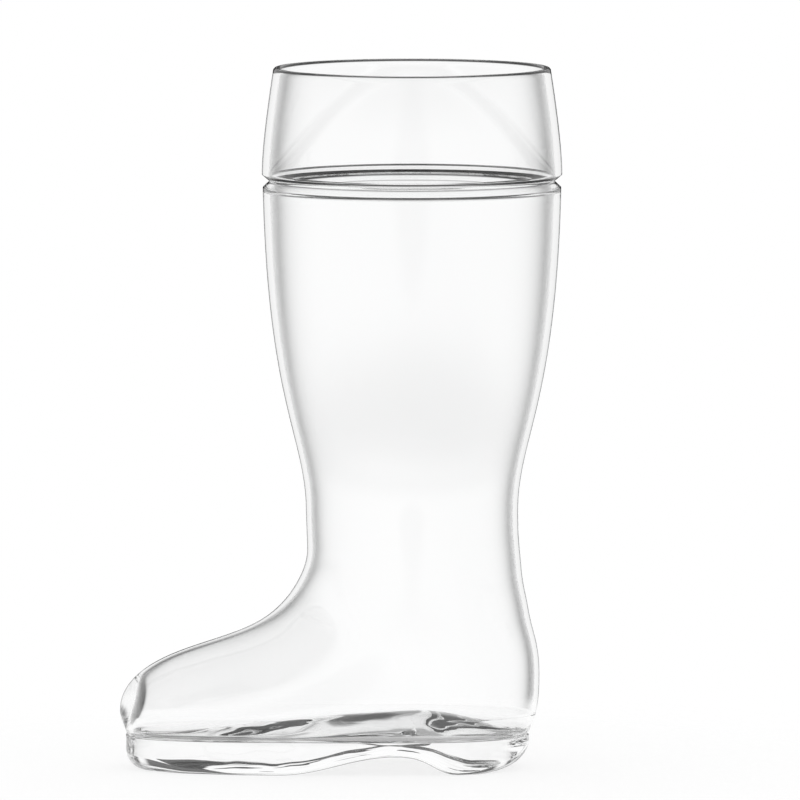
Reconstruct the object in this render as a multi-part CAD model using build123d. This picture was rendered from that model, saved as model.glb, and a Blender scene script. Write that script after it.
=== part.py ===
from build123d import *
import os

# A clear drinking glass in the shape of a boot. From the top down: a conical cuff with a rounded lip,
# a V groove right round it, a round tapering leg, a hollow foot, and a thick solid sole with a
# forefoot, an arch and a heel. Each stretch of glass is a solid of its own, and they meet face to face.
# Millimetres, +Z up, the toe points along -X, and the glass stands on the plane Z = 0.
# The origin is the middle of the base of the bounding box.

# Glass as a whole
GLASS_HEIGHT = 301.5  # table to the crest of the lip
WALL = 2.9  # cuff and top of the leg
FOOT_WALL = 2.0  # ankle and foot; the leg thins down to it

# Cuff and lip
CUFF_RADIUS = 64.4  # outside, at the groove, where the cuff is widest
LIP_DRAW = 4.8  # how much narrower the lip is, on the radius
CUFF_EASE = 13.3  # how far the cuff rises before it starts to draw in

# V groove under the cuff, and the ridge that it raises on the inside
GROOVE_DROP = 48.7  # crest of the lip to the bottom of the V
GROOVE_DEPTH = 3.3  # below the cuff's outside
GROOVE_HALF_HEIGHT = 2.8
GROOVE_WALL = 2.6  # glass left between the V and the ridge
RIDGE_UP = 3.2  # crest of the ridge to its end on the cuff's wall
RIDGE_DOWN = 3.8  # crest of the ridge to its end on the leg's wall
RIDGE_CORNER_SHARE = 0.2  # share of each flank that the bend at the wall takes
RIDGE_CREST_SHARE = 0.4  # share that the bend at the crest takes

# Leg
CUFF_STEP = 0.4  # how far the cuff stands out past the top of the leg
CALF_EASE = 94.0  # length of the nearly straight stretch at the top
CALF_LEAN = 2.0  # how far that stretch leans in
ANKLE_EASE = 32.0  # length of the nearly straight stretch at the ankle
ANKLE_RADIUS = 45.5  # outside
ANKLE_HEIGHT = 110.3  # table to the end of the round leg

# Foot
TOE_REACH = 125.4  # leg's axis to the tip of the toe
HEEL_REACH = 54.7  # leg's axis to the back of the heel
FOOT_HALF_WIDTH = 39.4
FLOOR_CORNER = 4.0  # radius between the wall and the floor of the hollow
CORNER_SINK = 1.0  # how far below the floor that corner is aimed, so that its edge isn't a feather

# Sole
SOLE_THICKNESS = 14.3  # table to the welt line, which is also the floor's edge
WELT_LIP = 0.4  # how far the sole stands out past the foot
WELT_ROUND = 0.3  # radius on the sole's top edge
SOLE_ROUND = 5.0  # radius on the sole's bottom edge
ARCH_FRONT = 58.0  # leg's axis to the front end of the arch
ARCH_FRONT_EASE = 20.0  # length of the gentle start in front
ARCH_TOP_EASE = 21.0  # length of the nearly level stretch in front of the top
ARCH_TOP = 6.0  # leg's axis to the top of the arch, towards the toe
ARCH_RISE = 8.0  # table to the top of the arch
ARCH_TURN = 14.0  # length of the nearly level stretch behind the top
ARCH_BACK_EASE = 10.5  # length of the gentle end at the heel
ARCH_BACK = 20.5  # leg's axis to the back end of the arch
HEEL_FLAT = 6.5  # length of the flat that the heel stands on
HEEL_CURVE = 25.0  # length of the curve from that flat up to the back of the heel
HEEL_CURVE_EASE = 11.0  # length of the gentle start of that curve
HEEL_CURVE_RISE = 9.0  # table to the end of that curve
HEEL_CURVE_TURN = 5.0  # length of its steep end
HEEL_CURVE_DROP = 5.5  # height of its steep end
CROWN_RISE = 10.2  # height of the hump in the floor, over the floor's edge
CROWN_TOP = 2.0  # leg's axis to the top of the hump, towards the heel
CROWN_TOE_GAP = 10.3  # tip of the welt line to the front end of the hump
CROWN_HEEL_GAP = 4.9  # back of the welt line to the back end of the hump
CROWN_SIDE_GAP = 6.5  # side of the welt line to the widest place of the hump
CROWN_FRONT_EASE = 38.0  # length of the even slope at its front end
CROWN_FRONT_LIFT = 3.6  # height of that slope
CROWN_TOP_EASE = 26.0  # length of the nearly level stretch in front of its top
CROWN_TURN = 17.0  # length of the nearly level stretch behind its top
CROWN_BACK_EASE = 12.0  # length of the slope at its back end
CROWN_BACK_LIFT = 5.0  # height of that slope

# Cross-sections of the foot, from the ankle down to the welt. Each row gives the height as a share of
# the way up from the welt, then how far the toe, the heel and the side have gone from the round ankle
# (0) to the full foot (1), and how full the curve is along the side and round the toe.
FOOT_SECTION_SHARES = (
    (1.000, 0.000, 0.00, 0.00, 0.552, 0.552),
    (0.896, -0.004, 0.02, 0.03, 0.552, 0.552),
    (0.792, -0.006, 0.12, 0.11, 0.550, 0.550),
    (0.688, 0.043, 0.22, 0.23, 0.545, 0.530),
    (0.594, 0.121, 0.44, 0.36, 0.535, 0.480),
    (0.510, 0.238, 0.58, 0.49, 0.520, 0.410),
    (0.448, 0.400, 0.78, 0.61, 0.505, 0.350),
    (0.396, 0.626, 0.90, 0.70, 0.500, 0.330),
    (0.333, 0.800, 0.99, 0.80, 0.560, 0.410),
    (0.250, 0.932, 1.00, 0.90, 0.680, 0.540),
    (0.135, 1.000, 0.93, 1.00, 0.800, 0.680),
    (0.000, 0.961, 0.48, 1.32, 0.840, 0.720),
)
ROUND_FULLNESS = 0.552  # the fullness at which such a curve is a quarter of an ellipse

# Places worked out from the sizes above
LIP_RADIUS = CUFF_RADIUS - LIP_DRAW
LEG_TOP_RADIUS = CUFF_RADIUS - CUFF_STEP
LIP_HEIGHT = GLASS_HEIGHT - WALL / 2
GROOVE_HEIGHT = GLASS_HEIGHT - GROOVE_DROP
GROOVE_RADIUS = CUFF_RADIUS - GROOVE_DEPTH
RIDGE_RADIUS = GROOVE_RADIUS - GROOVE_WALL
FLOOR_HEIGHT = SOLE_THICKNESS  # the floor's edge
WELT_SHARES = FOOT_SECTION_SHARES[-1]
AXIS_X = (TOE_REACH - CUFF_RADIUS) / 2  # the leg's axis, seen from the middle of the bounding box


def between(start, end, share):
    """The value that lies the given share of the way from start to end."""
    return start + share * (end - start)


def turned(outline):
    """A body of revolution about the leg's axis, from an outline drawn as (radius, height)."""
    return revolve(Plane.XZ * make_face(outline), Axis.Z)


def ridge_side(radius, end):
    """One flank of the inner ridge, from the wall of the given radius, at this height, to the crest."""
    bend = between(end, GROOVE_HEIGHT, RIDGE_CORNER_SHARE)
    crest_bend = between(GROOVE_HEIGHT, end, RIDGE_CREST_SHARE)
    return Bezier((radius, end), (radius, bend), (RIDGE_RADIUS, crest_bend), (RIDGE_RADIUS, GROOVE_HEIGHT))


def groove_floor():
    """The ring, seen edge on, where the cuff and the leg meet at the bottom of the V."""
    return Line((RIDGE_RADIUS, GROOVE_HEIGHT), (GROOVE_RADIUS, GROOVE_HEIGHT))


def make_cuff():
    """The conical band above the groove, with the rounded lip."""
    groove_edge = GROOVE_HEIGHT + GROOVE_HALF_HEIGHT
    ease = groove_edge + CUFF_EASE
    inside = CUFF_RADIUS - WALL
    ridge_end = GROOVE_HEIGHT + RIDGE_UP
    lip_inside = LIP_RADIUS - WALL
    lip_middle = LIP_RADIUS - WALL / 2
    outline = [
        Line((GROOVE_RADIUS, GROOVE_HEIGHT), (CUFF_RADIUS, groove_edge)),
        Bezier((CUFF_RADIUS, groove_edge), (CUFF_RADIUS, ease), (LIP_RADIUS, LIP_HEIGHT)),
        ThreePointArc((LIP_RADIUS, LIP_HEIGHT), (lip_middle, GLASS_HEIGHT), (lip_inside, LIP_HEIGHT)),
        Bezier((lip_inside, LIP_HEIGHT), (inside, ease), (inside, ridge_end)),
        ridge_side(inside, ridge_end),
        groove_floor(),
    ]
    return turned(outline)


def leg_side(top, top_inset, ankle_inset):
    """The leg's side as seen in profile, from the given height down, so far inside the outer face."""
    top_radius = LEG_TOP_RADIUS - top_inset
    ankle_radius = ANKLE_RADIUS - ankle_inset
    return Bezier(
        (top_radius, top),
        (top_radius - CALF_LEAN, top - CALF_EASE),
        (ankle_radius, ANKLE_HEIGHT + ANKLE_EASE),
        (ankle_radius, ANKLE_HEIGHT),
    )


def make_leg():
    """The round shaft, from the groove down to the ankle."""
    groove_edge = GROOVE_HEIGHT - GROOVE_HALF_HEIGHT
    ridge_end = GROOVE_HEIGHT - RIDGE_DOWN
    outline = [
        Line((GROOVE_RADIUS, GROOVE_HEIGHT), (LEG_TOP_RADIUS, groove_edge)),
        leg_side(groove_edge, 0, 0),
        Line((ANKLE_RADIUS, ANKLE_HEIGHT), (ANKLE_RADIUS - FOOT_WALL, ANKLE_HEIGHT)),
        leg_side(ridge_end, WALL, FOOT_WALL),
        ridge_side(LEG_TOP_RADIUS - WALL, ridge_end),
        groove_floor(),
    ]
    return turned(outline)


def foot_outline(toe, heel, side, side_fullness, toe_fullness):
    """A level section of the foot: two quarter ellipses at the heel and two fuller curves to the toe."""
    half = [
        Bezier((heel, 0), (heel, ROUND_FULLNESS * side), (ROUND_FULLNESS * heel, side), (0, side)),
        Bezier((0, side), (-side_fullness * toe, side), (-toe, toe_fullness * side), (-toe, 0)),
    ]
    return make_face(half + [mirror(edge, Plane.XZ) for edge in half])


def foot_section(section, lip=0):
    """One row of the foot's sections as a face at its height, grown all round by the given lip."""
    rise, toe_share, heel_share, side_share, side_fullness, toe_fullness = section
    outline = foot_outline(
        between(ANKLE_RADIUS, TOE_REACH, toe_share) + lip,
        between(ANKLE_RADIUS, HEEL_REACH, heel_share) + lip,
        between(ANKLE_RADIUS, FOOT_HALF_WIDTH, side_share) + lip,
        side_fullness,
        toe_fullness,
    )
    return Pos(0, 0, between(SOLE_THICKNESS, ANKLE_HEIGHT, rise)) * outline


def make_foot():
    """The hollow ankle, vamp, toe and heel counter, open at the ankle and at the floor."""
    sections = [foot_section(section) for section in FOOT_SECTION_SHARES]
    above = Pos(0, 0, 2 * FOOT_WALL) * sections[0]
    below = Pos(0, 0, -FOOT_WALL - CORNER_SINK) * sections[-1]
    outside = loft([above] + sections + [below])
    hollow = offset(outside, -FOOT_WALL)
    hollow = fillet(hollow.faces().sort_by(Axis.Z)[0].edges(), FLOOR_CORNER)
    glass = split(outside - hollow, Plane.XY.offset(SOLE_THICKNESS), keep=Keep.TOP)
    return split(glass, Plane.XY.offset(ANKLE_HEIGHT), keep=Keep.BOTTOM)


def side_profile():
    """The sole as seen from the side, right across and beyond the foot: forefoot, arch and curved heel."""
    reach = TOE_REACH + HEEL_REACH
    above = 2 * SOLE_THICKNESS
    heel_start = ARCH_BACK + HEEL_FLAT
    heel_end = heel_start + HEEL_CURVE
    toe_end = (-reach, 0)
    front = (-ARCH_FRONT, 0)
    top = (-ARCH_TOP, ARCH_RISE)
    back = (ARCH_BACK, 0)
    heel = (heel_start, 0)
    end = (heel_end, HEEL_CURVE_RISE)
    outline = [
        Line(toe_end, front),
        Bezier(front, (ARCH_FRONT_EASE - ARCH_FRONT, 0), (-ARCH_TOP - ARCH_TOP_EASE, ARCH_RISE), top),
        Bezier(top, (ARCH_TURN - ARCH_TOP, ARCH_RISE), (ARCH_BACK - ARCH_BACK_EASE, 0), back),
        Line(back, heel),
        Bezier(
            heel,
            (heel_start + HEEL_CURVE_EASE, 0),
            (heel_end - HEEL_CURVE_TURN, HEEL_CURVE_RISE - HEEL_CURVE_DROP),
            end,
        ),
        Line(end, (heel_end, above)),
        Line((heel_end, above), (-reach, above)),
        Line((-reach, above), toe_end),
    ]
    across = 2 * FOOT_HALF_WIDTH
    return extrude(Plane.XZ.offset(-across) * make_face(outline), 2 * across)


def floor_crown():
    """The hump in the floor of the hollow, over the arch: the top of a barrel that lies along X."""
    crown_front = CROWN_TOE_GAP - between(ANKLE_RADIUS, TOE_REACH, WELT_SHARES[1])
    crown_back = between(ANKLE_RADIUS, HEEL_REACH, WELT_SHARES[2]) - CROWN_HEEL_GAP
    half_width = between(ANKLE_RADIUS, FOOT_HALF_WIDTH, WELT_SHARES[3]) - CROWN_SIDE_GAP
    barrel = (half_width**2 + CROWN_RISE**2) / (2 * CROWN_RISE)
    axis_height = FLOOR_HEIGHT + CROWN_RISE - barrel
    crest = FLOOR_HEIGHT + CROWN_RISE
    front = (crown_front, FLOOR_HEIGHT)
    front_bend = (crown_front + CROWN_FRONT_EASE, FLOOR_HEIGHT + CROWN_FRONT_LIFT)
    top = (CROWN_TOP, crest)
    back_bend = (crown_back - CROWN_BACK_EASE, FLOOR_HEIGHT + CROWN_BACK_LIFT)
    back = (crown_back, FLOOR_HEIGHT)
    outline = [
        Bezier(front, front_bend, (CROWN_TOP - CROWN_TOP_EASE, crest), top),
        Bezier(top, (CROWN_TOP + CROWN_TURN, crest), back_bend, back),
        Line(back, (crown_back, axis_height)),
        Line((crown_back, axis_height), (crown_front, axis_height)),
        Line((crown_front, axis_height), front),
    ]
    body = revolve(Plane.XZ * make_face(outline), Axis((0, 0, axis_height), (1, 0, 0)))
    return split(body, Plane.XY.offset(FLOOR_HEIGHT), keep=Keep.TOP)


def bottom_edges(sole):
    """The curved edges where the sole's sides meet its underside."""
    curved = [edge for edge in sole.edges() if edge.geom_type != GeomType.LINE]
    return [edge for edge in curved if edge.center().Z < SOLE_THICKNESS - WELT_ROUND]


def make_sole():
    """The solid sole: its top edge is the welt line, its bottom the forefoot, the arch and the heel."""
    slab = extrude(foot_section(WELT_SHARES, WELT_LIP), -SOLE_THICKNESS)
    sole = slab & side_profile()
    sole = fillet(bottom_edges(sole), SOLE_ROUND)
    sole = fillet(sole.faces().sort_by(Axis.Z)[-1].edges(), WELT_ROUND)
    return sole + floor_crown()


os.makedirs("parts", exist_ok=True)
pieces = {"cuff": make_cuff(), "leg": make_leg(), "foot": make_foot(), "sole": make_sole()}
for name, piece in pieces.items():
    placed = Pos(AXIS_X, 0, 0) * piece
    print(name, "volume", round(placed.volume / 1000, 1), "cm3", "valid", placed.is_valid)
    export_step(placed, f"parts/{name}.step")
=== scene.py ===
# %% [markdown]
# # A clear drinking glass in the shape of a boot
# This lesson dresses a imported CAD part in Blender. The real object is one piece of blown glass: a cuff with
# a rounded lip, a groove under it, a round leg, a hollow foot and a thick solid sole. Everything is in
# metres and in the CAD part's own frame, so each piece of glass is built where the CAD solid stands.

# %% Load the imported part
import math

import bmesh
import bpy
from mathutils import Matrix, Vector
from mathutils.geometry import interpolate_bezier


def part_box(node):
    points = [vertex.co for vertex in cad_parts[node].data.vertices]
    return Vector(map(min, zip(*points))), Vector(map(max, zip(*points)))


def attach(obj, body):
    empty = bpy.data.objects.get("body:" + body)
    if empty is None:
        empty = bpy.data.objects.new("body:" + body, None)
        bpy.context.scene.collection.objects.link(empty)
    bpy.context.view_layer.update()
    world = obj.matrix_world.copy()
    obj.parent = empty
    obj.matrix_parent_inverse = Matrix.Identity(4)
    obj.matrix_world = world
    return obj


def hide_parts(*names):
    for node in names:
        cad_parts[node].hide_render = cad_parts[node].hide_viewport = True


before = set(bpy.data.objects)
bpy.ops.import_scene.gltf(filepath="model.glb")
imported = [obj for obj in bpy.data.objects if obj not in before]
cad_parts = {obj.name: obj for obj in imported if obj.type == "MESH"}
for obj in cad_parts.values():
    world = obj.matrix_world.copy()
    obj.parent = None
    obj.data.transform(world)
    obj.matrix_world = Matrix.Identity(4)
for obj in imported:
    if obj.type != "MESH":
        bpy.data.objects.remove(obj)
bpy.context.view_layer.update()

# %% [markdown]
# ## Sizes
# The heights where one stretch of glass meets the next can be read off the CAD nodes, so they aren't typed
# again. Most of the finer sizes, such as the depth of the groove, are the same as in the part's source. A
# few are this lesson's own, such as the rounds on the sole's bottom edge and the pinch above the welt.

# %% Sizes
MM = 0.001
cuff_low, cuff_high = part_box("cuff")
foot_low, foot_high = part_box("foot")
AXIS_X = (cuff_low.x + cuff_high.x) / 2  # the upright line that the leg is turned about
GLASS_HEIGHT = cuff_high.z
GROOVE_HEIGHT = cuff_low.z
ANKLE_HEIGHT = foot_high.z
WELT_HEIGHT = foot_low.z
CUFF_RADIUS = (cuff_high.x - cuff_low.x) / 2
WALL = 2.9 * MM
FOOT_WALL = 2.0 * MM
print("groove", GROOVE_HEIGHT, "ankle", ANKLE_HEIGHT, "welt", WELT_HEIGHT, "axis", AXIS_X)

# %% [markdown]
# ## The camera
# The photograph was taken with a long lens from straight at the side, a little above the glass: the rim is
# a flat ellipse, and the sole is seen from a slightly steeper angle than the rim. The camera stands 8 m
# away, and its field of view is set from the width of the picture at the leg's axis.

# %% Camera
VIEW_DISTANCE = 8.0
VIEW_ELEVATION = math.radians(4.74)
PICTURE_WIDTH = 0.3434  # metres across the picture at the leg's axis
AIM = Vector((AXIS_X - 5.15 * MM, 0, 158.4 * MM))
camera_data = bpy.data.cameras.new("camera")
camera = bpy.data.objects.new("camera", camera_data)
bpy.context.scene.collection.objects.link(camera)
camera.location = AIM + VIEW_DISTANCE * Vector((0, -math.cos(VIEW_ELEVATION), math.sin(VIEW_ELEVATION)))
camera.rotation_euler = (AIM - camera.location).to_track_quat("-Z", "Y").to_euler()
camera_data.lens = camera_data.sensor_width * VIEW_DISTANCE / PICTURE_WIDTH
camera_data.clip_end = 100
bpy.context.scene.camera = camera
print("lens", round(camera_data.lens, 1), "mm")

# %% [markdown]
# ## Turning a profile
# The cuff and the leg are round, as a potter or a lathe would make them. Half a cross-section is drawn as a
# closed chain of points, and the spin operator carries it once round the leg's axis.

# %% Profile helpers
ROUND_STEPS = 224  # facets in a full turn, fine enough that glass shows no flats
SAME_POINT = 1e-7  # points nearer than this are one point
ON_RING = 1e-5


def bend(start, start_pull, end_pull, end, count):
    """Points along a smooth bend between two (radius, height) points, each end drawn towards its pull."""
    knots = [Vector((radius, 0, height)) for radius, height in (start, start_pull, end_pull, end)]
    return [(point.x, point.z) for point in interpolate_bezier(*knots, count)]


def chain(*runs):
    """Joins runs of points end to end and leaves out the points that repeat."""
    points = []
    for run in runs:
        for point in run:
            if not points or (Vector(point) - Vector(points[-1])).length > SAME_POINT:
                points.append(point)
    return points


def turn(outline):
    """A bmesh of the closed outline, spun once round the leg's axis."""
    bm = bmesh.new()
    corners = [bm.verts.new((AXIS_X + radius, 0, height)) for radius, height in outline]
    for first, second in zip(corners, corners[1:] + corners[:1]):
        bm.edges.new((first, second))
    bmesh.ops.spin(
        bm, geom=bm.verts[:] + bm.edges[:], cent=(AXIS_X, 0, 0), axis=(0, 0, 1),
        angle=math.tau, steps=ROUND_STEPS, use_merge=True)
    bmesh.ops.remove_doubles(bm, verts=bm.verts, dist=SAME_POINT)
    bmesh.ops.recalc_face_normals(bm, faces=bm.faces)
    return bm


def ring_edges(bm, radius, height):
    """The edges of the turned ring at this radius and height."""
    def on_ring(vert):
        reach = math.hypot(vert.co.x - AXIS_X, vert.co.y)
        return abs(reach - radius) < ON_RING and abs(vert.co.z - height) < ON_RING
    return [edge for edge in bm.edges if all(on_ring(vert) for vert in edge.verts)]


print("facets in a turn", ROUND_STEPS)

# %% [markdown]
# ## Where two stretches of glass are fused
# The real glass has no faces inside it. The pieces here are closed, so two of them touch at a flat ring in
# the groove, at the ankle and along the welt. Those rings get a second, fully see-through material, so
# light goes straight on through them as it does in one piece of glass.

# %% Finish helpers
GLASS, SEAM = 0, 1  # places in a piece's list of materials
ON_LEVEL = 1e-6
CREASE = math.radians(28)  # edges sharper than this stay sharp


def mark_seams(bm, *heights):
    """Gives the flat faces at these heights the seam's material, and all the others the glass."""
    for face in bm.faces:
        fused = any(all(abs(vert.co.z - height) < ON_LEVEL for vert in face.verts) for height in heights)
        face.material_index = SEAM if fused else GLASS


def make_piece(name, bm):
    """Turns the bmesh into an object, smooth but for its creases and the edges of its seams."""
    bmesh.ops.recalc_face_normals(bm, faces=bm.faces)
    for face in bm.faces:
        face.smooth = True
    for edge in bm.edges:
        kinds = {face.material_index for face in edge.link_faces}
        edge.smooth = len(kinds) == 1 and edge.calc_face_angle(0) < CREASE
    open_edges = sum(not edge.is_manifold for edge in bm.edges)
    mesh = bpy.data.meshes.new(name)
    bm.to_mesh(mesh)
    bm.free()
    piece = bpy.data.objects.new(name, mesh)
    bpy.context.scene.collection.objects.link(piece)
    triangles = sum(len(polygon.vertices) - 2 for polygon in mesh.polygons)
    print(name, "triangles", triangles, "open edges", open_edges)
    return piece


print("creases over", round(math.degrees(CREASE)), "degrees")

# %% [markdown]
# ## The groove
# A V groove is rolled into the soft glass under the cuff. It pushes a soft ridge into the inside, whose
# crest sits a hair lower than the V. The two edges of the V are melted to a very small round. The cuff ends
# level with the bottom of the V, so it takes the upper part of the ridge, and the leg takes the rest.

# %% Groove
GROOVE_RADIUS = CUFF_RADIUS - 3.3 * MM
GROOVE_HALF_HEIGHT = 2.8 * MM
GROOVE_EDGE = 0.12 * MM  # the small round where the V meets the outside
GROOVE_EDGE_PARTS = 3
RIDGE_UP = 2.7 * MM
RIDGE_DOWN = 4.2 * MM
RIDGE_DEPTH = 2.95 * MM
RIDGE_DROP = 0.5 * MM  # the crest of the ridge sits this much lower than the groove
RIDGE_CORNER = 0.2  # how softly a flank leaves the wall, as a share of its height
RIDGE_CREST = 0.42  # how broad the crest is, as a share of the same height
RIDGE_POINTS = 28


def ridge(radius, reach):
    """One flank of the soft inner ridge, from the wall, so far above or below the crest, to the crest."""
    crest = GROOVE_HEIGHT - RIDGE_DROP
    crest_radius = CUFF_RADIUS - WALL - RIDGE_DEPTH
    return bend(
        (radius, crest + reach), (radius, crest + reach * (1 - RIDGE_CORNER)),
        (crest_radius, crest + reach * RIDGE_CREST), (crest_radius, crest), RIDGE_POINTS)


def round_groove_edge(bm, radius, height):
    """Rounds the ring where a flank of the V meets the outside."""
    bmesh.ops.bevel(
        bm, geom=ring_edges(bm, radius, height), offset=GROOVE_EDGE, affect="EDGES",
        segments=GROOVE_EDGE_PARTS, profile=0.5, material=-1)


inside = CUFF_RADIUS - WALL
upper_ridge = ridge(inside, RIDGE_UP)
under_groove = next(number for number, point in enumerate(upper_ridge) if point[1] < GROOVE_HEIGHT)
(r0, z0), (r1, z1) = upper_ridge[under_groove - 1:under_groove + 1]
fall = z0 - GROOVE_HEIGHT
level_point = (r0 + (r1 - r0) * fall / (z0 - z1), GROOVE_HEIGHT)  # where the cuff ends on the ridge
print("glass at the bottom of the V", round((GROOVE_RADIUS - level_point[0]) / MM, 2), "mm")

# %% [markdown]
# ## The cuff
# The cuff is a band that leans in a little towards the lip. Its bottom edge is the upper flank of the V
# groove. The lip is melted round in the flame, so it is half a circle.

# %% Cuff
LIP_RADIUS = CUFF_RADIUS - 4.8 * MM
LIP_HEIGHT = GLASS_HEIGHT - WALL / 2
LIP_POINTS = 14
CUFF_EASE = 13.3 * MM
CUFF_POINTS = 32


def lean(start, corner, end, count):
    """A bend with one corner that draws both of its ends, which makes it a plain parabola."""
    start_pull = Vector(start).lerp(Vector(corner), 2 / 3)
    end_pull = Vector(end).lerp(Vector(corner), 2 / 3)
    return bend(start, start_pull, end_pull, end, count)


def round_lip():
    """Half a circle over the top of the wall, from the outside to the inside."""
    middle, half = LIP_RADIUS - WALL / 2, WALL / 2
    angles = [math.pi * step / LIP_POINTS for step in range(LIP_POINTS + 1)]
    return [(middle + half * math.cos(angle), LIP_HEIGHT + half * math.sin(angle)) for angle in angles]


cuff_edge = GROOVE_HEIGHT + GROOVE_HALF_HEIGHT
cuff_ease = cuff_edge + CUFF_EASE
cuff_bm = turn(chain(
    [(GROOVE_RADIUS, GROOVE_HEIGHT)],
    lean((CUFF_RADIUS, cuff_edge), (CUFF_RADIUS, cuff_ease), (LIP_RADIUS, LIP_HEIGHT), CUFF_POINTS),
    round_lip(),
    lean((LIP_RADIUS - WALL, LIP_HEIGHT), (inside, cuff_ease), upper_ridge[0], CUFF_POINTS),
    upper_ridge[:under_groove] + [level_point],
))
round_groove_edge(cuff_bm, CUFF_RADIUS, cuff_edge)
mark_seams(cuff_bm, GROOVE_HEIGHT)
cuff = make_piece("cuff_glass", cuff_bm)

# %% [markdown]
# ## The leg
# The leg starts with the lower flank of the groove, goes down almost straight, draws in at the shin and
# ends at the narrow ankle. Its wall thins from 2.9 mm to 2 mm, as glass does where it has been stretched.

# %% Leg
LEG_TOP_RADIUS = CUFF_RADIUS - 0.4 * MM
ANKLE_RADIUS = 45.5 * MM
CALF_EASE = 94.0 * MM
CALF_LEAN = 2.0 * MM
ANKLE_EASE = 32.0 * MM
LEG_POINTS = 84


def leg_side(top, top_inset, ankle_inset):
    """The leg's side in profile, from this height down to the ankle, so far inside the outer face."""
    top_radius = LEG_TOP_RADIUS - top_inset
    ankle_radius = ANKLE_RADIUS - ankle_inset
    return bend(
        (top_radius, top), (top_radius - CALF_LEAN, top - CALF_EASE),
        (ankle_radius, ANKLE_HEIGHT + ANKLE_EASE), (ankle_radius, ANKLE_HEIGHT), LEG_POINTS)


leg_edge = GROOVE_HEIGHT - GROOVE_HALF_HEIGHT
leg_bm = turn(chain(
    [(GROOVE_RADIUS, GROOVE_HEIGHT)],
    leg_side(leg_edge, 0, 0),
    leg_side(GROOVE_HEIGHT - RIDGE_DROP - RIDGE_DOWN, WALL, FOOT_WALL)[::-1],
    ridge(LEG_TOP_RADIUS - WALL, -RIDGE_DOWN),
    upper_ridge[:under_groove - 1:-1] + [level_point],
))
round_groove_edge(leg_bm, LEG_TOP_RADIUS, leg_edge)
mark_seams(leg_bm, GROOVE_HEIGHT, ANKLE_HEIGHT)
leg = make_piece("leg_glass", leg_bm)

# %% [markdown]
# ## The foot
# From the ankle down the glass stops being round. Each row of the table is a level section: its height up
# from the welt, how far the toe, heel and side have gone from the round ankle (0) to the full foot (1), and
# how full the curve is along the side and round the toe.

# %% Foot sections
TOE_REACH = AXIS_X - foot_low.x
HEEL_REACH = 54.7 * MM
FOOT_HALF_WIDTH = 39.4 * MM
ROUND_FULLNESS = 0.552  # the fullness that makes a quarter of a circle
FOOT_SECTIONS = (
    (1.000, 0.000, 0.00, 0.00, 0.552, 0.552),
    (0.896, -0.004, 0.02, 0.03, 0.552, 0.552),
    (0.792, -0.006, 0.12, 0.11, 0.550, 0.550),
    (0.688, 0.043, 0.22, 0.23, 0.545, 0.530),
    (0.594, 0.121, 0.44, 0.36, 0.535, 0.480),
    (0.510, 0.238, 0.58, 0.49, 0.520, 0.410),
    (0.448, 0.400, 0.78, 0.61, 0.505, 0.350),
    (0.396, 0.626, 0.90, 0.70, 0.500, 0.330),
    (0.333, 0.800, 0.99, 0.80, 0.560, 0.410),
    (0.250, 0.932, 1.00, 0.90, 0.680, 0.540),
    (0.135, 1.000, 0.93, 1.00, 0.800, 0.680),
    (0.000, 0.961, 0.48, 1.32, 0.840, 0.720),
)
HEEL_POINTS, TOE_POINTS = 40, 64  # points in a quarter of the outline


def outline(toe, heel, side, side_fullness, toe_fullness):
    """Points round a level section, from the back of the heel along +Y to the toe and back along -Y."""
    heel_quarter = interpolate_bezier(
        Vector((heel, 0)), Vector((heel, ROUND_FULLNESS * side)),
        Vector((ROUND_FULLNESS * heel, side)), Vector((0, side)), HEEL_POINTS + 1)
    toe_quarter = interpolate_bezier(
        Vector((0, side)), Vector((-side_fullness * toe, side)),
        Vector((-toe, toe_fullness * side)), Vector((-toe, 0)), TOE_POINTS + 1)
    half = heel_quarter[:-1] + toe_quarter
    return half + [Vector((point.x, -point.y)) for point in half[-2:0:-1]]


def foot_ring(values, grow=0.0):
    """The outline for one row of values, grown all round, as points about the leg's axis."""
    toe, heel, side, side_fullness, toe_fullness = values
    return outline(
        ANKLE_RADIUS + toe * (TOE_REACH - ANKLE_RADIUS) + grow,
        ANKLE_RADIUS + heel * (HEEL_REACH - ANKLE_RADIUS) + grow,
        ANKLE_RADIUS + side * (FOOT_HALF_WIDTH - ANKLE_RADIUS) + grow,
        side_fullness, toe_fullness)


RING_POINTS = len(foot_ring(FOOT_SECTIONS[0][1:]))
print("points in a ring", RING_POINTS)

# %% [markdown]
# ## The levels of the foot
# A dozen rows are too few for glass, in which every step shows. So levels a millimetre apart are read off a
# smooth curve through the rows, and each level is then drawn towards its neighbours. The levels are closer
# where the wall turns in to the floor, and closest at the pinched welt.

# %% Foot levels
LEVEL_STEP = 1.0 * MM
FLOOR_STEP = 0.4 * MM  # finer steps where the wall turns in to the floor
FLOOR_ZONE = 9.0 * MM
EASING_PASSES = 24


def section_at(share):
    """The table's row at any height, on a smooth curve through the rows beside it."""
    rows = FOOT_SECTIONS
    after = next((i for i in range(1, len(rows)) if rows[i][0] <= share + 1e-9), len(rows) - 1)
    before = after - 1
    span = rows[after][0] - rows[before][0]
    t = (share - rows[before][0]) / span
    values = []
    for column in range(1, 6):
        def slope(i):
            low, high = max(i - 1, 0), min(i + 1, len(rows) - 1)
            return (rows[high][column] - rows[low][column]) / (rows[high][0] - rows[low][0])
        start, end = rows[before][column], rows[after][column]
        values.append(
            start * (2 * t**3 - 3 * t**2 + 1) + end * (3 * t**2 - 2 * t**3)
            + span * slope(before) * (t**3 - 2 * t**2 + t) + span * slope(after) * (t**3 - t**2))
    return values


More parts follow.
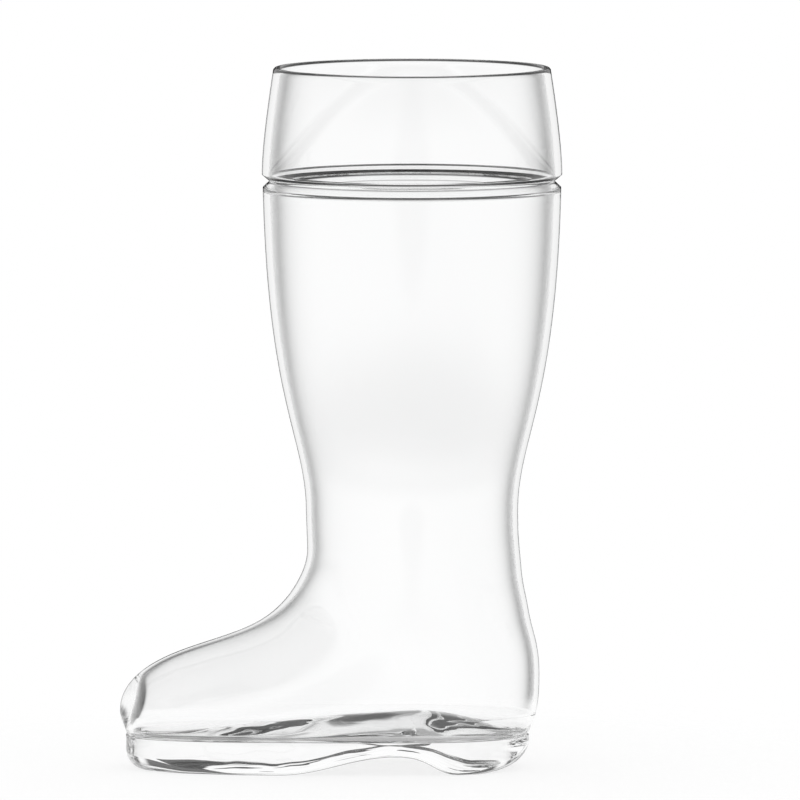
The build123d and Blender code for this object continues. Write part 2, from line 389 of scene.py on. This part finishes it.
level_count = round((ANKLE_HEIGHT - WELT_HEIGHT - FLOOR_ZONE) / LEVEL_STEP)
floor_count = round(FLOOR_ZONE / FLOOR_STEP)
levels = [ANKLE_HEIGHT - LEVEL_STEP * i for i in range(level_count)]
levels += [WELT_HEIGHT + FLOOR_ZONE - FLOOR_STEP * i for i in range(floor_count + 1)]
levels[-1] = WELT_HEIGHT
level_values = [section_at((z - WELT_HEIGHT) / (ANKLE_HEIGHT - WELT_HEIGHT)) for z in levels]
for _ in range(EASING_PASSES):
    eased = [level_values[0]]
    for above, here, below in zip(level_values, level_values[1:], level_values[2:]):
        eased.append([(a + 2 * b + c) / 4 for a, b, c in zip(above, here, below)])
    level_values = eased + [level_values[-1]]
furthest = max(values[0] for values in level_values)
for values in level_values[1:]:  # the easing draws the toe in a little, so it is let out again
    values[0] = values[0] / furthest
print("levels", len(levels), "from", levels[0], "to", levels[-1])

# %% Welt levels
NOTCH_HEIGHT = 1.4 * MM  # how far up from the sole the pinch reaches
NOTCH_PARTS = 3  # each level there is divided into so many
notch_start = next(i for i, z in enumerate(levels) if z - WELT_HEIGHT < NOTCH_HEIGHT)
fine_levels, fine_values = [], []
for i in range(notch_start, len(levels)):
    for part in range(1, NOTCH_PARTS + 1):
        share = part / NOTCH_PARTS
        fine_levels.append(levels[i - 1] + share * (levels[i] - levels[i - 1]))
        fine_values.append([a + share * (b - a) for a, b in zip(level_values[i - 1], level_values[i])])
levels[notch_start:] = fine_levels
level_values[notch_start:] = fine_values
welt_values = level_values[-1]
print("levels with the welt's", len(levels), "the lowest at", levels[-1])

# %% [markdown]
# ## The outer skin
# A ring of edges is extruded downwards level by level, and each new ring is moved onto its section. Each
# vert remembers its level and its place in the ring, so the wall and the sole can find it again.

# %% Foot skin
foot_bm = bmesh.new()
place = foot_bm.verts.layers.int.new("place")
level = foot_bm.verts.layers.int.new("level")
ring = bmesh.ops.create_circle(foot_bm, segments=RING_POINTS, radius=ANKLE_RADIUS)["verts"]
ring_run = foot_bm.edges[:]
for number, vert in enumerate(ring):
    vert[place] = number


def extrude_run(bm, run):
    """Extrudes a ring of edges in place, and gives the new verts and the new ring of edges."""
    made = bmesh.ops.extrude_edge_only(bm, edges=run)["geom"]
    verts = [item for item in made if isinstance(item, bmesh.types.BMVert)]
    fresh = set(verts)
    edges = [item for item in made if isinstance(item, bmesh.types.BMEdge) and set(item.verts) <= fresh]
    return verts, edges


def put_ring(verts, number):
    """Moves a ring of verts onto the section of this level."""
    points = foot_ring(level_values[number])
    for vert in verts:
        point = points[vert[place]]
        vert.co = (AXIS_X + point.x, point.y, levels[number])
        vert[level] = number


put_ring(ring, 0)
for number in range(1, len(levels)):
    ring, ring_run = extrude_run(foot_bm, ring_run)
    put_ring(ring, number)
bmesh.ops.recalc_face_normals(foot_bm, faces=foot_bm.faces)
print("skin", len(foot_bm.verts), "verts", len(foot_bm.faces), "faces")

# %% [markdown]
# ## The wall of the foot
# Blown glass lies against its mould on the outside, and its inside follows at the thickness of the wall. So
# the skin is copied, and the copy is pushed in along the skin's own normals. At the tip of the toe, where
# glass gathers, it is pushed in further. Near the sole it turns in to the floor, in a round corner that is
# fullest beside the arch.

# %% Foot wall
FLOOR_CORNER = 4.0 * MM
ARCH_CORNER = 8.5 * MM  # the fuller corner beside the arch
CORNER_MIDDLE, CORNER_REACH = 0.0 * MM, 75.0 * MM
CORNER_SINK = 1.0 * MM  # how far below the welt line the corner comes to the floor
TOE_GATHER = 1.5 * MM  # how much thicker the wall is at the tip of the toe
GATHER_HEIGHT = 30.0 * MM
GATHER_REACH = 14.0 * MM
GATHER_SPREAD = 2.2  # how much further it reaches across the toe than up and down
gather = Vector((foot_low.x, 0, GATHER_HEIGHT))


def corner_round(x):
    """The radius between wall and floor at this distance from the leg's axis."""
    away = min(1.0, abs(x - CORNER_MIDDLE) / CORNER_REACH)
    return FLOOR_CORNER + (ARCH_CORNER - FLOOR_CORNER) * (1 - away**2) ** 2


def looks_out(face):
    """Positive if a face looks away from the leg's axis."""
    middle = face.calc_center_median()
    return face.normal.dot(middle - Vector((AXIS_X, 0, middle.z)))


def level_way(push):
    """A push without its upward part."""
    return Vector((push.x, push.y, 0)).normalized()


outer_faces = foot_bm.faces[:]
if sum(looks_out(face) for face in outer_faces) < 0:
    bmesh.ops.reverse_faces(foot_bm, faces=outer_faces)
foot_bm.normal_update()
outer_verts = foot_bm.verts[:]
pushes = {(vert[level], vert[place]): vert.normal.copy() for vert in outer_verts}
inner = bmesh.ops.duplicate(foot_bm, geom=foot_bm.verts[:] + foot_bm.edges[:] + foot_bm.faces[:])["geom"]
inner_faces = [item for item in inner if isinstance(item, bmesh.types.BMFace)]
inner_verts = [item for item in inner if isinstance(item, bmesh.types.BMVert)]
bmesh.ops.reverse_faces(foot_bm, faces=inner_faces)
last = len(levels) - 1
floor_edge = {}  # where the inner wall meets the floor, by place in the ring
for vert in inner_verts:
    push = pushes[vert[level], vert[place]]
    away = vert.co - gather
    near = max(0.0, 1 - (away.x**2 + away.z**2 + (away.y / GATHER_SPREAD) ** 2) / GATHER_REACH**2)
    vert.co -= push * (FOOT_WALL + TOE_GATHER * near**2)
    if vert[level] in (0, last):
        vert.co.z = levels[vert[level]]
    rise = vert.co.z - (WELT_HEIGHT - CORNER_SINK)
    corner = corner_round(vert.co.x - AXIS_X)
    if rise < corner:
        vert.co -= level_way(push) * (corner - math.sqrt(corner**2 - (corner - rise)**2))
    if vert[level] == last:
        floor_edge[vert[place]] = vert.co.copy()
print("inside of the wall", len(inner_verts), "verts")

# %% [markdown]
# ## The welt line
# Just above the sole the outside is pinched in, which the photo shows as a fine line right round the foot.
# The lowest levels of the skin are drawn in towards it. Two flat rims then close the skin and its copy into
# one wall, at the ankle and on the sole.

# %% Foot welt
NOTCH_DEPTH = 0.7 * MM  # how far the outside is pinched in at the welt
welt_edge = {}  # the bottom edge of the foot's outside, by place in the ring
for vert in outer_verts:
    pinch = max(0.0, 1 - (vert.co.z - WELT_HEIGHT) / NOTCH_HEIGHT) ** 2
    vert.co -= level_way(pushes[vert[level], vert[place]]) * NOTCH_DEPTH * pinch
    if vert[level] == last:
        welt_edge[vert[place]] = vert.co.copy()
for number in (0, last):
    rim = [edge for edge in foot_bm.edges if edge.is_boundary and all(v[level] == number for v in edge.verts)]
    bmesh.ops.bridge_loops(foot_bm, edges=rim)
mark_seams(foot_bm, ANKLE_HEIGHT, WELT_HEIGHT)
foot = make_piece("foot_glass", foot_bm)

# %% [markdown]
# ## The sole
# The sole is solid glass, pressed while it was soft. Seen from the side, its underside is one line with a
# forefoot, an arch and a heel. Its top is the floor of the hollow, with a hump over the arch, where the
# glass was gathered. The hump is the top of a barrel that lies along the foot, and it blends into the
# floor.

# %% Sole underside
ARCH_FRONT, ARCH_FRONT_EASE = 58.0 * MM, 20.0 * MM
ARCH_TOP, ARCH_TOP_EASE, ARCH_TURN = 6.0 * MM, 21.0 * MM, 14.0 * MM
ARCH_BACK, ARCH_BACK_EASE = 20.5 * MM, 10.5 * MM
ARCH_RISE = 8.0 * MM
HEEL_START, HEEL_EASE = 27.0 * MM, 11.0 * MM
HEEL_END, HEEL_TURN = 52.0 * MM, 5.0 * MM
HEEL_RISE, HEEL_DROP = 9.0 * MM, 5.5 * MM
LONG_POINTS, MIDDLE_POINTS, SHORT_POINTS = 120, 80, 60  # points along a long, a middling and a short bend
under_line = chain(
    bend((-ARCH_FRONT, 0), (ARCH_FRONT_EASE - ARCH_FRONT, 0), (-ARCH_TOP - ARCH_TOP_EASE, ARCH_RISE),
         (-ARCH_TOP, ARCH_RISE), LONG_POINTS),
    bend((-ARCH_TOP, ARCH_RISE), (ARCH_TURN - ARCH_TOP, ARCH_RISE), (ARCH_BACK - ARCH_BACK_EASE, 0),
         (ARCH_BACK, 0), MIDDLE_POINTS),
    bend((HEEL_START, 0), (HEEL_START + HEEL_EASE, 0), (HEEL_END - HEEL_TURN, HEEL_RISE - HEEL_DROP),
         (HEEL_END, HEEL_RISE), SHORT_POINTS))


def height_on(line, x):
    """The height of a line of points at this distance from the leg's axis, or 0 beyond its ends."""
    for (x0, z0), (x1, z1) in zip(line, line[1:]):
        if x0 <= x <= x1:
            return z0 + (z1 - z0) * (x - x0) / (x1 - x0)
    return 0.0


def under_height(x):
    """How far the underside is off the table at this distance from the leg's axis."""
    return height_on(under_line, x)


print("arch", round(under_height(-ARCH_TOP) / MM, 2), "mm")

# %% Sole floor
CROWN_FRONT, CROWN_FRONT_EASE, CROWN_FRONT_LIFT = 112.0 * MM, 38.0 * MM, 3.6 * MM
CROWN_TOP, CROWN_TOP_EASE, CROWN_TURN = 2.0 * MM, 26.0 * MM, 17.0 * MM
CROWN_BACK, CROWN_BACK_EASE, CROWN_BACK_LIFT = 45.0 * MM, 12.0 * MM, 5.0 * MM
CROWN_RISE = 10.2 * MM
CROWN_HALF_WIDTH = 31.0 * MM
CROWN_BLEND = 0.8 * MM  # how softly the hump rises from the floor
BARREL_RADIUS = (CROWN_HALF_WIDTH**2 + CROWN_RISE**2) / (2 * CROWN_RISE)
BARREL_DEPTH = BARREL_RADIUS - CROWN_RISE  # how far under the floor the middle of the barrel lies
crown_line = chain(
    bend((-CROWN_FRONT, 0), (CROWN_FRONT_EASE - CROWN_FRONT, CROWN_FRONT_LIFT),
         (CROWN_TOP - CROWN_TOP_EASE, CROWN_RISE), (CROWN_TOP, CROWN_RISE), MIDDLE_POINTS),
    bend((CROWN_TOP, CROWN_RISE), (CROWN_TOP + CROWN_TURN, CROWN_RISE),
         (CROWN_BACK - CROWN_BACK_EASE, CROWN_BACK_LIFT), (CROWN_BACK, 0), SHORT_POINTS))


def floor_height(x, y, inset):
    """The floor of the hollow at a point that is so far inside the foot's inner edge."""
    radius = corner_round(x)
    turn_in = radius - math.sqrt(radius**2 - (radius - CORNER_SINK)**2) + inset
    corner = 0.0
    if turn_in < radius:
        corner = radius - math.sqrt(radius**2 - (radius - turn_in)**2)
    crown = math.sqrt((BARREL_DEPTH + height_on(crown_line, x))**2 - y**2) - BARREL_DEPTH
    floor = corner - CORNER_SINK
    return WELT_HEIGHT + (crown + floor + math.hypot(crown - floor, CROWN_BLEND)) / 2


print("hump", round(height_on(crown_line, CROWN_TOP) / MM, 2), "mm")

# %% [markdown]
# ## The sides of the sole
# The outline of the sole is the foot's lowest section, a hair larger. Rings of edges are extruded from its
# top edge: round the welt, down the side, and round the bottom edge. That edge is crisp along the arch and
# full at the toe, as in the photo, so its radius goes by the distance from the leg's axis.

# %% Sole welt
WELT_LIP = 0.4 * MM
WELT_ROUND = 0.3 * MM
WELT_PARTS = 4
sole_bm = bmesh.new()
sole_place = sole_bm.verts.layers.int.new("place")
ring = bmesh.ops.create_circle(sole_bm, segments=RING_POINTS, radius=ANKLE_RADIUS)["verts"]
for number, vert in enumerate(ring):
    vert[sole_place] = number
top_run = sole_bm.edges[:]


def grow_ring(run, spot):
    """Extrudes a ring of edges and moves each new vert to the spot for its place in the ring."""
    verts, edges = extrude_run(sole_bm, run)
    for vert in verts:
        vert.co = spot(vert[sole_place])
    return edges


def side_spot(grow, lift):
    """A rule that puts a place of the ring on the welt outline, grown so far, at a height from lift(x)."""
    points = foot_ring(welt_values, grow)

    def spot(number):
        point = points[number]
        return Vector((AXIS_X + point.x, point.y, lift(point.x)))
    return spot


top_spot = side_spot(WELT_LIP - WELT_ROUND, lambda x: WELT_HEIGHT)
for vert in ring:
    vert.co = top_spot(vert[sole_place])
run = top_run
for part in range(1, WELT_PARTS + 1):
    angle = math.pi / 2 * part / WELT_PARTS
    drop = WELT_ROUND * (1 - math.cos(angle))
    grow = WELT_LIP - WELT_ROUND * (1 - math.sin(angle))
    run = grow_ring(run, side_spot(grow, lambda x: WELT_HEIGHT - drop))
print("welt", len(sole_bm.verts), "verts")

# %% Sole sides
SIDE_PARTS = 6
EDGE_PARTS = 12
BOTTOM_ROUNDS = (  # distance from the leg's axis and the radius on the bottom edge there, in millimetres
    (-130, 9.0), (-116, 7.0), (-95, 3.0), (-75, 1.0), (-25, 0.8), (0, 0.8), (22, 1.0), (40, 3.0), (60, 5.5))


def bottom_round(x):
    """The radius on the bottom edge: full at the toe, small along the arch, middling at the heel."""
    for (x0, r0), (x1, r1) in zip(BOTTOM_ROUNDS, BOTTOM_ROUNDS[1:]):
        if x0 * MM <= x <= x1 * MM:
            t = (x / MM - x0) / (x1 - x0)
            return (r0 + (r1 - r0) * t * t * (3 - 2 * t)) * MM


def side_lift(share):
    """A rule for heights on the side, this share of the way from the welt to the bottom edge's round."""
    def lift(x):
        low = under_height(x) + bottom_round(x)
        high = WELT_HEIGHT - WELT_ROUND
        return high + (low - high) * share
    return lift


def under_spot(angle):
    """A rule for the bottom edge's round, at this angle of the way from the side to the underside."""
    outer = foot_ring(welt_values, WELT_LIP)

    def spot(number):
        radius = bottom_round(outer[number].x)
        point = foot_ring(welt_values, WELT_LIP - radius * (1 - math.cos(angle)))[number]
        return Vector((AXIS_X + point.x, point.y, under_height(point.x) + radius * (1 - math.sin(angle))))
    return spot


for part in range(1, SIDE_PARTS + 1):
    run = grow_ring(run, side_spot(WELT_LIP, side_lift(part / SIDE_PARTS)))
for part in range(1, EDGE_PARTS + 1):
    run = grow_ring(run, under_spot(math.pi / 2 * part / EDGE_PARTS))
under_run = run
print("sole side", len(sole_bm.verts), "verts")

# %% [markdown]
# ## The top of the sole
# Rings are also extruded inwards from the same top edge: to the foot's outside, to the foot's inside, and
# in over the floor of the hollow. The ring that the foot stands on is a seam. The gaps left in the middle
# of the floor and of the underside are closed by bridging one side to the other and dividing the bridge.

# %% Sole top
FLOOR_INSETS = (0.3, 0.6, 0.9, 1.3, 1.7, 2.2, 2.8, 3.6, 4.6, 6.0, 8.0)  # in millimetres from the foot
run = grow_ring(top_run, welt_edge.get)
ledge_count = len(sole_bm.faces)
run = grow_ring(run, floor_edge.get)
foot_print = sole_bm.faces[ledge_count:]


def floor_spot(inset):
    """A rule that goes this far in from the inner edge of the foot, square to its outline."""
    outer = foot_ring(welt_values)

    def spot(number):
        edge = floor_edge[number]
        inward = Vector((edge.x - AXIS_X - outer[number].x, edge.y - outer[number].y, 0)).normalized()
        point = edge + inward * inset
        point.z = floor_height(point.x - AXIS_X, point.y, inset)
        return point
    return spot


for inset in FLOOR_INSETS:
    run = grow_ring(run, floor_spot(inset * MM))
floor_run = run
print("foot stands on", len(foot_print), "faces, floor rings", len(FLOOR_INSETS))

# %% Sole middle
CROSS_CUTS = 23


def close_middle(run, shape):
    """Bridges the two sides of a ring, closes its two tips, divides the bridge and shapes what it made."""
    by_place = {vert[sole_place]: vert for edge in run for vert in edge.verts}
    toe_place = RING_POINTS // 2
    tip_verts = {by_place[0], by_place[toe_place]}
    tip_sides = ({1, RING_POINTS - 1}, {toe_place - 1, toe_place + 1})
    old_faces = set(sole_bm.faces)
    bmesh.ops.bridge_loops(sole_bm, edges=[edge for edge in run if not tip_verts & set(edge.verts)])
    tips = [edge for edge in sole_bm.edges if edge.is_boundary and (
        tip_verts & set(edge.verts) or {vert[sole_place] for vert in edge.verts} in tip_sides)]
    bmesh.ops.holes_fill(sole_bm, edges=tips, sides=4)
    new_faces = [face for face in sole_bm.faces if face not in old_faces]
    round_it = set(run)
    across = dict.fromkeys(edge for face in new_faces for edge in face.edges if edge not in round_it)
    made = bmesh.ops.subdivide_edges(sole_bm, edges=list(across), cuts=CROSS_CUTS, use_grid_fill=True)
    fresh = {item for item in made["geom_inner"] if isinstance(item, bmesh.types.BMVert)}
    fresh -= set(by_place.values())
    for vert in fresh:
        vert.co.z = shape(vert.co)
    return len(fresh)


sole_bm.normal_update()
under_made = close_middle(under_run, lambda point: under_height(point.x - AXIS_X))
floor_made = close_middle(
    floor_run, lambda point: floor_height(point.x - AXIS_X, point.y, FLOOR_INSETS[-1] * MM))
print("underside", under_made, "floor", floor_made, "verts made")
for face in sole_bm.faces:
    face.material_index = GLASS
for face in foot_print:
    face.material_index = SEAM
sole = make_piece("sole_glass", sole_bm)
pieces = {"cuff": cuff, "leg": leg, "foot": foot, "sole": sole}

# %% [markdown]
# ## Clear glass
# Clear glass is almost only shape: it bends and mirrors the room. Blown glass is never quite even, so a
# slow ripple tilts its surface, by a hair in the walls and by more in the thick sole, where the photo shows
# dark curls. The ripple is a node group, because the walls and the sole both use it with their own
# strength. The group only puts out a height, a tint and a polish; the shader stays in the material.

# %% Glass groups
RIPPLE_LOW, RIPPLE_HIGH = 0.3, 0.7  # the noise's usual range
TINT_LOW, TINT_HIGH = (0.985, 0.987, 0.987, 1), (0.999, 1.0, 1.0, 1)
DULLEST = 0.012  # the roughness where the glass is least polished


def new_group(name, inputs, outputs):
    """A shader node group with these float inputs and these outputs, and its two ends."""
    group = bpy.data.node_groups.new(name, "ShaderNodeTree")
    for label, value in inputs.items():
        socket = group.interface.new_socket(label, in_out="INPUT", socket_type="NodeSocketFloat")
        socket.default_value = value
    for label, kind in outputs.items():
        group.interface.new_socket(label, in_out="OUTPUT", socket_type=kind)
    return group, group.nodes.new("NodeGroupInput"), group.nodes.new("NodeGroupOutput")


ripple, ripple_in, ripple_out = new_group(
    "hand_blown_ripple", {"Size": 40.0, "Stretch": 0.4},
    {"Height": "NodeSocketFloat", "Tint": "NodeSocketColor", "Polish": "NodeSocketFloat"})
where = ripple.nodes.new("ShaderNodeTexCoord")
stretch = ripple.nodes.new("ShaderNodeCombineXYZ")
stretch.inputs["X"].default_value = 1
stretch.inputs["Y"].default_value = 1
ripple.links.new(ripple_in.outputs["Stretch"], stretch.inputs["Z"])
along = ripple.nodes.new("ShaderNodeVectorMath")
along.operation = "MULTIPLY"
ripple.links.new(where.outputs["Object"], along.inputs[0])
ripple.links.new(stretch.outputs["Vector"], along.inputs[1])
waves = ripple.nodes.new("ShaderNodeTexNoise")
waves.inputs["Detail"].default_value = 0.5
ripple.links.new(along.outputs["Vector"], waves.inputs["Vector"])
ripple.links.new(ripple_in.outputs["Size"], waves.inputs["Scale"])
ripple.links.new(waves.outputs["Fac"], ripple_out.inputs["Height"])
tint = ripple.nodes.new("ShaderNodeValToRGB")
for stop, position, colour in zip(
        tint.color_ramp.elements, (RIPPLE_LOW, RIPPLE_HIGH), (TINT_LOW, TINT_HIGH)):
    stop.position = position
    stop.color = colour
ripple.links.new(waves.outputs["Fac"], tint.inputs["Fac"])
ripple.links.new(tint.outputs["Color"], ripple_out.inputs["Tint"])
polish = ripple.nodes.new("ShaderNodeMapRange")
polish.inputs["From Min"].default_value = RIPPLE_LOW
polish.inputs["From Max"].default_value = RIPPLE_HIGH
polish.inputs["To Min"].default_value = 0.0
polish.inputs["To Max"].default_value = DULLEST
ripple.links.new(waves.outputs["Fac"], polish.inputs["Value"])
ripple.links.new(polish.outputs["Result"], ripple_out.inputs["Polish"])
print("groups", [group.name for group in bpy.data.node_groups])

# %% Glass materials
GLASS_BEND = 1.5  # the refractive index of common glass


def clear_glass(name, size, stretch_share, depth):
    """Clear glass whose surface ripples by this depth."""
    material = bpy.data.materials.new(name)
    material.use_nodes = True
    tree = material.node_tree
    shader = tree.nodes["Principled BSDF"]
    shader.inputs["Transmission Weight"].default_value = 1.0
    shader.inputs["IOR"].default_value = GLASS_BEND
    shader.inputs["Metallic"].default_value = 0.0
    surface = tree.nodes.new("ShaderNodeGroup")
    surface.node_tree = ripple
    surface.inputs["Size"].default_value = size
    surface.inputs["Stretch"].default_value = stretch_share
    bump = tree.nodes.new("ShaderNodeBump")
    bump.inputs["Strength"].default_value = 1.0
    bump.inputs["Distance"].default_value = depth
    tree.links.new(surface.outputs["Height"], bump.inputs["Height"])
    tree.links.new(bump.outputs["Normal"], shader.inputs["Normal"])
    tree.links.new(surface.outputs["Tint"], shader.inputs["Base Color"])
    tree.links.new(surface.outputs["Polish"], shader.inputs["Roughness"])
    return material


wall_glass = clear_glass("blown_wall_glass", 26.0, 0.35, 0.04 * MM)
sole_material = clear_glass("solid_sole_glass", 60.0, 0.8, 0.9 * MM)
fused_seam = bpy.data.materials.new("fused_seam")
fused_seam.use_nodes = True
fused_seam.node_tree.nodes["Principled BSDF"].inputs["Alpha"].default_value = 0.0
for node, piece in pieces.items():
    piece.data.materials.append(sole_material if node == "sole" else wall_glass)
    piece.data.materials.append(fused_seam)
print("materials", [material.name for material in bpy.data.materials])

# %% [markdown]
# ## Sums in nodes
# The floor and the room are both mixed from a few plain sums, so a helper makes each kind of node for them.

# %% Node helpers
WHITE = (1, 1, 1, 1)


def feed(tree, value, socket):
    """Puts a plain number into a socket, or links another node's output to it."""
    if isinstance(value, (int, float)):
        socket.default_value = value
    else:
        tree.links.new(value, socket)


def maths(tree, operation, first, second=None):
    """A math node on one or two outputs or plain numbers."""
    node = tree.nodes.new("ShaderNodeMath")
    node.operation = operation
    feed(tree, first, node.inputs[0])
    if second is not None:
        feed(tree, second, node.inputs[1])
    return node.outputs["Value"]


def ramp(tree, value, start, end, start_tone, end_tone):
    """A smooth change of tone between two values."""
    node = tree.nodes.new("ShaderNodeMapRange")
    node.interpolation_type = "SMOOTHSTEP"
    tree.links.new(value, node.inputs["Value"])
    ends = {"From Min": start, "From Max": end, "To Min": start_tone, "To Max": end_tone}
    for label, number in ends.items():
        node.inputs[label].default_value = number
    return node.outputs["Result"]


def choose(tree, mask, when_no, when_yes):
    """One of two tones, by a mask of 0 or 1."""
    node = tree.nodes.new("ShaderNodeMix")
    node.data_type = "FLOAT"
    tree.links.new(mask, node.inputs["Factor"])
    feed(tree, when_no, node.inputs["A"])
    feed(tree, when_yes, node.inputs["B"])
    return node.outputs["Result"]


def distance(tree, spot):
    """How far a spot is from the middle."""
    node = tree.nodes.new("ShaderNodeVectorMath")
    node.operation = "LENGTH"
    tree.links.new(spot, node.inputs[0])
    return node.outputs["Value"]


def blend(tree, share, first, second):
    """A mix of two shaders, with this share of the second."""
    node = tree.nodes.new("ShaderNodeMixShader")
    for value, socket in zip((share, first, second), node.inputs):
        tree.links.new(value, socket)
    return node.outputs["Shader"]


# %% [markdown]
# ## The floor
# The glass stands on a plain white floor. A round sheet is enough: its rim fades out to the white room, so
# it has no edge in any view. Most of its white is its own, for the eye and for the glass, and the rest is
# matt paper that keeps the soft shadow of the glass. Under the sole a painted shadow darkens the paper's own
# white in an oval patch, only for light that comes through or off the glass.

# %% Floor sheet
FLOOR_RADIUS = 0.32
FLOOR_DROP = 0.05 * MM
FLOOR_SIDES = 96
floor_bm = bmesh.new()
bmesh.ops.create_circle(floor_bm, cap_ends=True, segments=FLOOR_SIDES, radius=FLOOR_RADIUS)
floor_mesh = bpy.data.meshes.new("floor")
floor_bm.to_mesh(floor_mesh)
floor_bm.free()
floor = bpy.data.objects.new("floor", floor_mesh)
floor.location.z = -FLOOR_DROP
bpy.context.scene.collection.objects.link(floor)
print("floor radius", FLOOR_RADIUS)

# %% Floor paper
FLOOR_GLOW = 0.8  # the share of the floor's white that is its own
FADE_START = FLOOR_RADIUS / 2
PAINTED_SHADOW_TONE = 0.45  # the tone of the painted shadow under the sole, as the glass sees it
PAINTED_SHADOW_LENGTH, PAINTED_SHADOW_WIDTH = 95 * MM, 40 * MM
PAINTED_SHADOW_FULL, PAINTED_SHADOW_END = 0.85, 1.1  # the shares of that size between which the painted shadow fades to white
paper = bpy.data.materials.new("white_paper")
paper.use_nodes = True
tree = paper.node_tree
tree.nodes.remove(tree.nodes["Principled BSDF"])
path = tree.nodes.new("ShaderNodeLightPath").outputs
on_paper = tree.nodes.new("ShaderNodeTexCoord").outputs["Object"]
bent = maths(tree, "MAXIMUM", path["Is Glossy Ray"], path["Is Transmission Ray"])
seen = maths(tree, "MAXIMUM", path["Is Camera Ray"], bent)
squeeze = tree.nodes.new("ShaderNodeVectorMath")
squeeze.operation = "MULTIPLY"
squeeze.inputs[1].default_value = (1 / PAINTED_SHADOW_LENGTH, 1 / PAINTED_SHADOW_WIDTH, 0)
tree.links.new(on_paper, squeeze.inputs[0])
off_middle = distance(tree, squeeze.outputs["Vector"])
# painted shadow: an oval under the sole where the paper's own white is darker, for bent light only
painted_shadow_under_sole = ramp(tree, off_middle, PAINTED_SHADOW_FULL, PAINTED_SHADOW_END, PAINTED_SHADOW_TONE, 1.0)
glow = tree.nodes.new("ShaderNodeEmission")
glow.inputs["Color"].default_value = WHITE
tree.links.new(choose(tree, bent, 1.0, painted_shadow_under_sole), glow.inputs["Strength"])
matt = tree.nodes.new("ShaderNodeBsdfDiffuse")
matt.inputs["Color"].default_value = WHITE
clear = tree.nodes.new("ShaderNodeBsdfTransparent")
own_share = maths(tree, "MULTIPLY", seen, FLOOR_GLOW)
sheet = blend(tree, own_share, matt.outputs["BSDF"], glow.outputs["Emission"])
fade = ramp(tree, distance(tree, on_paper), FADE_START, FLOOR_RADIUS, 0.0, 1.0)
faded = blend(tree, fade, sheet, clear.outputs["BSDF"])
tree.links.new(faded, tree.nodes["Material Output"].inputs["Surface"])
floor_mesh.materials.append(paper)
print("paper", len(tree.nodes), "nodes")

# %% [markdown]
# ## The studio
# Glass is photographed against a bright field with a darker room round it: light that goes straight through
# is white, and light that the rounded edges bend aside comes back grey or black, which draws the outline.
# The room is the world's colour by direction. Dark panels stand all round, an eighth of a turn apart, so
# the glass has its dark edges from every side. The ceiling and the room below the table are dark too, which
# draws the rim, the groove and the sole.
#
# Light that was bent and never mirrored sees all of that. Light mirrored inside the glass sees the ceiling
# and the room below, but not the panels, since each one would show in the leg as a streak. Light mirrored
# off the outside sees an even, paler room with a dark card at each end of the Y axis. The very edge of the
# glass mirrors what stands almost straight behind it, so the cards draw the thin line round the boot. What
# the camera sees directly is plain white, and so is the light that the floor receives.

# %% Studio tones
PANELS = 8
PANEL_TONE = 0.12
PANEL_FULL = 0.2  # fully dark where the beat, -1 in a panel's middle and 1 between panels, is under this
CEILING_TONE = 0.06
CEILING_START, CEILING_FULL = (math.sin(math.radians(angle)) for angle in (9, 26))
CELLAR_TONE = 0.06
CELLAR_START, CELLAR_FULL = (math.sin(math.radians(angle)) for angle in (-12, -24))
OUTSIDE_TONE = 0.7
CARD_TONE = 0.0
CARD_START, CARD_FULL = (math.cos(math.radians(angle)) for angle in (18, 10))
print("panels", PANELS, "tone", PANEL_TONE, "ceiling and cellar", CEILING_TONE, CELLAR_TONE)

# %% Studio
scene = bpy.context.scene
scene.view_settings.view_transform = "Standard"
world = bpy.data.worlds.new("studio")
scene.world = world
world.use_nodes = True
tree = world.node_tree
tree.nodes.clear()
look = tree.nodes.new("ShaderNodeTexCoord")
parts = tree.nodes.new("ShaderNodeSeparateXYZ")
tree.links.new(look.outputs["Generated"], parts.inputs["Vector"])
side_x, side_y, height = (parts.outputs[axis] for axis in "XYZ")
path = tree.nodes.new("ShaderNodeLightPath").outputs
beat = maths(tree, "COSINE", maths(tree, "MULTIPLY", maths(tree, "ARCTAN2", side_y, side_x), PANELS))
panels = ramp(tree, beat, PANEL_FULL, 1.0, PANEL_TONE, 1.0)
ceiling = ramp(tree, height, CEILING_START, CEILING_FULL, 1.0, CEILING_TONE)
cellar = ramp(tree, height, CELLAR_FULL, CELLAR_START, CELLAR_TONE, 1.0)
dark_room = maths(tree, "MULTIPLY", ceiling, cellar)
card_room = ramp(tree, maths(tree, "ABSOLUTE", side_y), CARD_START, CARD_FULL, OUTSIDE_TONE, CARD_TONE)
mirrored = maths(tree, "GREATER_THAN", path["Glossy Depth"], 0.5)
from_inside = maths(tree, "GREATER_THAN", path["Transmission Depth"], 0.5)
mirror = choose(tree, from_inside, card_room, dark_room)
room = choose(tree, mirrored, maths(tree, "MULTIPLY", panels, dark_room), mirror)
bent = maths(tree, "MAXIMUM", path["Is Glossy Ray"], path["Is Transmission Ray"])
lights_floor = maths(tree, "GREATER_THAN", path["Diffuse Depth"], 0.5)
tone = choose(tree, lights_floor, choose(tree, bent, 1.0, room), 1.0)
sky = tree.nodes.new("ShaderNodeBackground")
sky.inputs["Color"].default_value = WHITE
tree.links.new(tone, sky.inputs["Strength"])
output = tree.nodes.new("ShaderNodeOutputWorld")
tree.links.new(sky.outputs["Background"], output.inputs["Surface"])
print("studio", len(tree.nodes), "nodes")

# %% [markdown]
# ## Handing over
# Every piece rides on the part's one body and stands for its CAD node. Light has to pass many faces of
# clear glass, so it may bend and mirror more often than usual. The dressed part has to stay as large as the
# CAD part.

# %% Hand over
MOST_BENDS, MOST_MIRRORS = 32, 16
for node, piece in pieces.items():
    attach(piece, "root")
    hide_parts(node)
scene.cycles.max_bounces = MOST_BENDS
scene.cycles.transmission_bounces = MOST_BENDS
scene.cycles.glossy_bounces = MOST_MIRRORS
scene.cycles.transparent_max_bounces = MOST_BENDS
